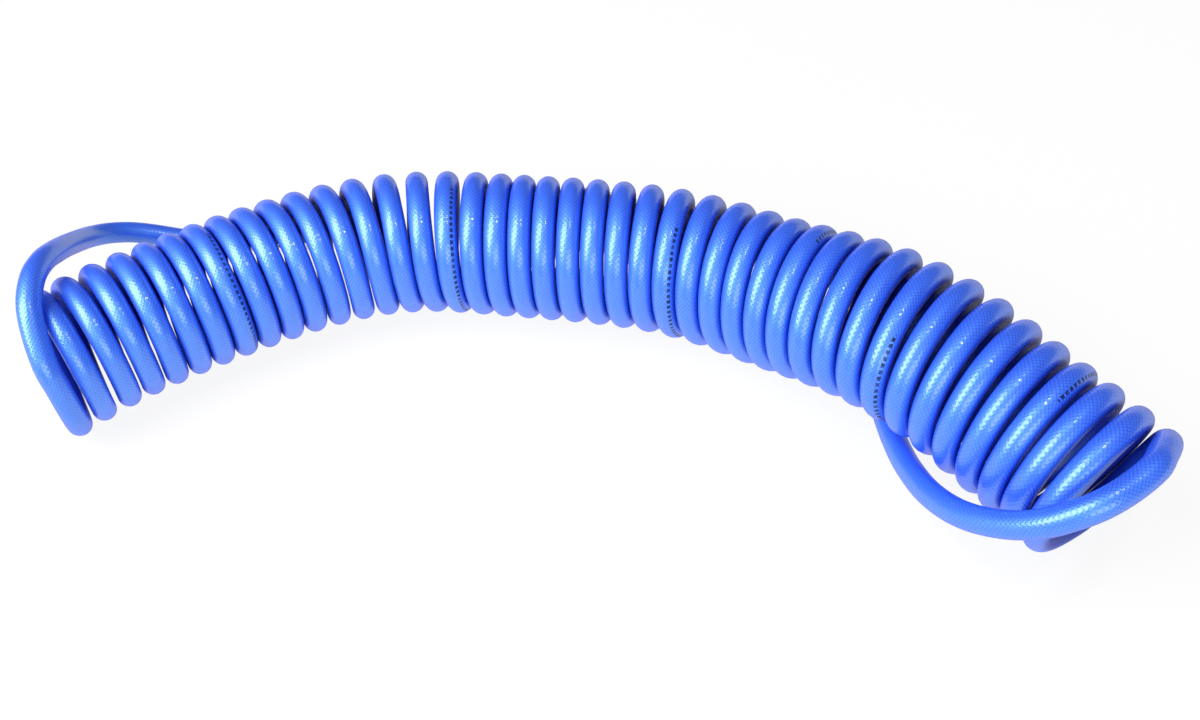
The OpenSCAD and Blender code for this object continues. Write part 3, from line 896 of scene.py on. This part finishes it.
def make_world(context, stage):
    """Even light from all round, which the camera sees as white."""
    world = bpy.data.worlds.new("even_light")
    context.scene.world = world
    world.use_nodes = True
    tree = world.node_tree
    background = tree.nodes["Background"]
    background.inputs["Color"].default_value = (1, 1, 1, 1)
    path = tree.nodes.new("ShaderNodeLightPath")
    choose = tree.nodes.new("ShaderNodeMix")
    choose.data_type = "FLOAT"
    tree.links.new(path.outputs["Is Camera Ray"], choose.inputs["Factor"])
    choose.inputs["A"].default_value = stage.world
    choose.inputs["B"].default_value = 1.0
    tree.links.new(choose.outputs["Result"], background.inputs["Strength"])


class AIRHOSE_OT_stage(bpy.types.Operator):
    """Make the camera, the floor and the lamps"""

    bl_idname = "airhose.stage"
    bl_label = "Stage"

    def execute(self, context):
        stage = settings().stage
        make_camera(context, stage)
        make_floor(context, stage)
        make_lamps(context, stage)
        make_world(context, stage)
        context.scene.view_settings.view_transform = "Standard"
        return {"FINISHED"}


# ---------------------------------------------------------------- the hose

HOSE_NODES = ["hose_coil", "plug_side_tail", "coupler_side_tail",
              "plug_hose_end", "coupler_hose_end"]


class AIRHOSE_OT_hose(bpy.types.Operator):
    """Make the whole hose as one braided tube"""

    bl_idname = "airhose.hose"
    bl_label = "Hose"

    def execute(self, context):
        hose = settings().hose
        line, ahead, ups, wound_share = hose_line(hose)
        mesh, length = tube_mesh("hose", line, ahead, ups, hose.hose_d / 2, hose.sides)
        add_shelter(mesh, ups, wound_share, hose.sides)
        close_ends(mesh, hose.sides, len(line))
        add_bake_map(mesh)
        piece = add_piece("hose", mesh, "root", braided_hose_material(hose))
        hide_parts(*HOSE_NODES)
        return {"FINISHED"}


# ---------------------------------------------------------------- the fittings

# Node, fitting, start and end along it, radius of the coil, wire and curls
SPRINGS = (
    ("plug_guard", PLUG, -54, -12, 7.6, 2, 13),
    ("coupler_guard", COUPLER, -54, -12, 7.6, 2, 13),
    ("sleeve_spring", COUPLER, 31.5, 44, 10.3, 1.2, 5),
    ("valve_spring", COUPLER, 20.8, 33, 5.05, 0.8, 6),
)
# The joint that presses a spring towards its start, and the share of its length it keeps
PRESSED = {
    "sleeve_spring": ("sleeve_slide", 0.6),
    "valve_spring": ("valve_slide", 0.59),
}
# Nodes that have a piece of the scene in their place, beside the hose's
REMADE = ["coupler_sleeve", *[spring[0] for spring in SPRINGS]]


class AIRHOSE_OT_springs(bpy.types.Operator):
    """Wind the two bend guards and the coupler's two springs"""

    bl_idname = "airhose.springs"
    bl_label = "Springs"

    def execute(self, context):
        steel = metal_material("drawn_wire", settings().fittings.wire, WOUND_WIRE_ROUGHNESS)
        for node, fitting, start, end, radius, wire, curls in SPRINGS:
            mesh = spring_mesh(node, fitting, start, end, radius, wire, curls)
            piece = add_piece(f"{node}_wire", mesh, "root", steel)
            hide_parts(node)
            if node in PRESSED:
                tuple(fitting.at(start))
                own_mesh(piece)
        return {"FINISHED"}


# The release sleeve: its ends, the stretches that are knurled, and its outline of
# (x, radius), from the back along the outside to the mouth and back along the inside
SLEEVE_BACK, SLEEVE_FRONT = 30, 61
BACK_KNURL, FRONT_KNURL = (33.7, 43.6), (46.4, 56.3)
SLEEVE_R = 13.2
GROOVE_R = 12.8
WAIST_R = 12.6
CHAMBER_R = 11.6
MOUTH_R = 10.5
BALL_ROOM_R = 9.83
LAND_R = 8.65
SLEEVE_OUTSIDE = [
    (SLEEVE_BACK, 11.7), (SLEEVE_BACK, 12.5), (30.2, 12.8), (30.6, 13.05), (31, SLEEVE_R),
    (32.6, SLEEVE_R), (33, GROOVE_R), (33.3, GROOVE_R), *[(x, SLEEVE_R) for x in BACK_KNURL],
    (44, GROOVE_R), (44.3, WAIST_R), (45.7, WAIST_R), (46, GROOVE_R),
    *[(x, SLEEVE_R) for x in FRONT_KNURL], (56.7, GROOVE_R), (57, GROOVE_R),
    (57.4, SLEEVE_R), (60, SLEEVE_R), (60.6, 12.95), (SLEEVE_FRONT, 12.3),
]
SLEEVE_INSIDE = [
    (SLEEVE_FRONT, 10.6), (60.9, MOUTH_R), (57.9, MOUTH_R), (57.9, BALL_ROOM_R),
    (55.5, BALL_ROOM_R), (49.5, 8.75), (48.9, LAND_R), (44, LAND_R), (44, CHAMBER_R),
    (30.1, CHAMBER_R),
]
SLEEVE_EDGE_ANGLE = 32
# The knurl: teeth round the sleeve, mesh sides for each, depth, rows of the mesh along it,
# and how soon it is at full depth
KNURL_TEETH = 72
SIDES_PER_TOOTH = 4
KNURL_DEPTH = 0.32
KNURL_ROWS = 26
KNURL_RUN_IN = 0.4


def sleeve_outline():
    """The sleeve's outline with rows enough for the knurls' crossing grooves."""
    outside = []
    for (x, r), (x2, _) in zip(SLEEVE_OUTSIDE, SLEEVE_OUTSIDE[1:] + SLEEVE_INSIDE[:1]):
        rows = KNURL_ROWS if (x, x2) in (BACK_KNURL, FRONT_KNURL) else 1
        outside += [(x + (x2 - x) * i / rows, r) for i in range(rows)]
    return outside + SLEEVE_INSIDE


def knurl_depth(x, r, angles):
    """How deep the crossing grooves of a knurl are at x, for each angle."""
    for start, end in (BACK_KNURL, FRONT_KNURL):
        if start <= x <= end and r == SLEEVE_R:
            turn = angles * KNURL_TEETH / (2 * np.pi)
            lead = x * KNURL_TEETH / (2 * np.pi * SLEEVE_R)
            grooves = [np.abs(2 * ((turn + way * lead) % 1) - 1) for way in (1, -1)]
            share = min(1, (x - start) / KNURL_RUN_IN, (end - x) / KNURL_RUN_IN)
            return KNURL_DEPTH * share * (1 - np.minimum(*grooves))
    return 0 * angles


class AIRHOSE_OT_sleeve(bpy.types.Operator):
    """Turn and knurl the coupler's release sleeve"""

    bl_idname = "airhose.sleeve"
    bl_label = "Release sleeve"

    def execute(self, context):
        mesh = lathe_mesh("release_sleeve", COUPLER, sleeve_outline(),
                          SIDES_PER_TOOTH * KNURL_TEETH, knurl_depth)
        smooth_within(mesh, SLEEVE_EDGE_ANGLE)
        steel = metal_material("sleeve_steel", settings().fittings.plated, SLEEVE_ROUGHNESS,
                               COUPLER)
        piece = add_piece("release_sleeve", mesh, "sleeve", steel)
        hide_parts("coupler_sleeve")
        return {"FINISHED"}


def finish_of(node):
    """The finish that a CAD node shows, by what it is."""
    if "stem" in node or "poppet" in node:
        return "brass"
    if "seal" in node or "packing" in node:
        return "rubber"
    if "ring" in node:
        return "wire"
    return "plated"


class AIRHOSE_OT_fittings(bpy.types.Operator):
    """Give the plug and the coupler their finishes"""

    bl_idname = "airhose.fittings"
    bl_label = "Fittings"

    def execute(self, context):
        look = settings().fittings
        rubber = rubber_material(look.rubber)
        finishes = {}
        for end, fitting in (("plug", PLUG), ("coupler", COUPLER)):
            finishes[end] = {
                "plated": metal_material(f"{end}_plated_steel", look.plated,
                                         PLATED_ROUGHNESS, fitting),
                "brass": metal_material(f"{end}_brass", look.brass, BRASS_ROUGHNESS, fitting),
                "wire": metal_material(f"{end}_wire", look.wire, RING_WIRE_ROUGHNESS),
                "rubber": rubber,
            }
        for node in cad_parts:
            if node not in HOSE_NODES + REMADE:
                end = "plug" if node.startswith("plug") else "coupler"
                dress(node, finishes[end][finish_of(node)])
        return {"FINISHED"}


# ---------------------------------------------------------------- add-on

STEPS = (AIRHOSE_OT_stage, AIRHOSE_OT_hose, AIRHOSE_OT_springs, AIRHOSE_OT_sleeve,
         AIRHOSE_OT_fittings)


class AIRHOSE_PT_panel(bpy.types.Panel):
    """Lists the sizes and colours, and the steps that build the air hose"""

    bl_idname = "AIRHOSE_PT_panel"
    bl_label = "Air Hose"
    bl_space_type = "VIEW_3D"
    bl_region_type = "UI"
    bl_category = "Air Hose"

    def draw(self, context):
        chosen = settings()
        for group in (chosen.hose, chosen.fittings, chosen.stage):
            box = self.layout.box()
            for name in type(group).__annotations__:
                box.prop(group, name)
        for step in STEPS:
            self.layout.operator(step.bl_idname)


CLASSES = (AIRHOSE_PG_hose, AIRHOSE_PG_fittings, AIRHOSE_PG_stage, AIRHOSE_PG_all,
           *STEPS, AIRHOSE_PT_panel)


def register():
    for cls in CLASSES:
        bpy.utils.register_class(cls)
    bpy.types.Scene.air_hose = PointerProperty(type=AIRHOSE_PG_all)


def unregister():
    del bpy.types.Scene.air_hose
    for cls in reversed(CLASSES):
        bpy.utils.unregister_class(cls)


def main():
    """Builds everything in order."""
    register()
    bpy.ops.airhose.stage()
    bpy.ops.airhose.hose()
    bpy.ops.airhose.springs()
    bpy.ops.airhose.sleeve()
    bpy.ops.airhose.fittings()


if __name__ == "__main__":
    main()
